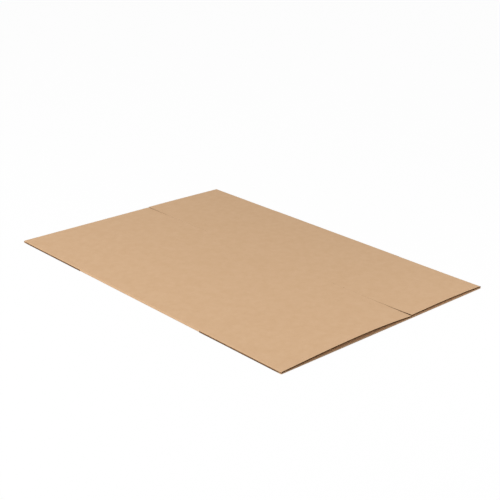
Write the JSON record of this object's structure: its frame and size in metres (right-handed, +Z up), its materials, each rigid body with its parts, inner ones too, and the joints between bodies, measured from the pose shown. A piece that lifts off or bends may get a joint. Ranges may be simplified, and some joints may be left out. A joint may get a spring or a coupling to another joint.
{
  "type": "flattened cardboard box",
  "caption": "Knocked-down slotted carton of brown corrugated board, lying flat, with hinged upper end flaps.",
  "frame": {"origin": "on the surface the flat carton lies on, at the middle of its outline", "axes": "+X across the two side folds from the long upper panel to the short one, +Y along the folds and flutes to the rear flaps, +Z up"},
  "size_m": [0.8, 1.15, 0.0147],
  "materials": {
    "kraft_board": "matt"
  },
  "bodies": {
    "sleeve": {"sleeve": "kraft_board"},
    "front_long_flap": {"front_long_flap": "kraft_board"},
    "front_short_flap": {"front_short_flap": "kraft_board"},
    "rear_long_flap": {"rear_long_flap": "kraft_board"},
    "rear_short_flap": {"rear_short_flap": "kraft_board"}
  },
  "joints": [
    {"name": "front_long_fold", "type": "hinge", "parent": "sleeve", "child": "front_long_flap", "pos_m": [0, -0.27, 0.0082], "axis": [-1, 0, 0], "range_deg": [0, 135]},
    {"name": "front_short_fold", "type": "hinge", "parent": "sleeve", "child": "front_short_flap", "pos_m": [0, -0.27, 0.00768], "axis": [-1, 0, 0], "range_deg": [0, 135]},
    {"name": "rear_long_fold", "type": "hinge", "parent": "sleeve", "child": "rear_long_flap", "pos_m": [0, 0.27, 0.0082], "axis": [1, 0, 0], "range_deg": [0, 135]},
    {"name": "rear_short_fold", "type": "hinge", "parent": "sleeve", "child": "rear_short_flap", "pos_m": [0, 0.27, 0.00768], "axis": [1, 0, 0], "range_deg": [0, 135]}
  ]
}
